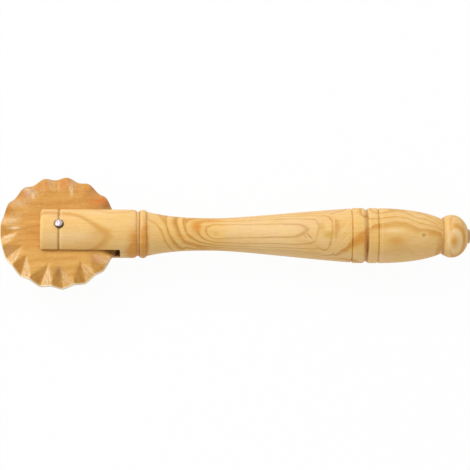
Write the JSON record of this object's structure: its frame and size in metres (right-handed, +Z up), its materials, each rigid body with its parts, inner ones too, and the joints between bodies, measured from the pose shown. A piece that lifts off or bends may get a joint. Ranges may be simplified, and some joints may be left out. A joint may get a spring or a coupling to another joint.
{
  "type": "pastry wheel",
  "caption": "Wooden pastry wheel: a turned handle with a sawn fork holds a fluted cutting wheel that spins freely on a domed steel pin.",
  "frame": {"origin": "bottom centre of the bounding box: the table's surface under the middle of the tool as it lies", "axes": "+X from the wheel towards the pommel, +Z up from the table; the pin's head leans towards +Y"},
  "size_m": [0.2002, 0.0489, 0.0236],
  "materials": {
    "handle_wood": "fine sanded, unvarnished",
    "wheel_wood": "sawn and hand cut, unvarnished",
    "pin_steel": "bright, slightly hammered"
  },
  "bodies": {
    "handle": {"handle": "handle_wood", "axle_pin": "pin_steel"},
    "wheel": {"pastry_wheel": "wheel_wood"}
  },
  "joints": [
    {"name": "wheel_spin", "type": "hinge", "parent": "handle", "child": "wheel", "pos_m": [-0.07489, 0, 0.01037], "axis": [-0.0104, 0.3251, 0.9456], "continuous": true}
  ]
}
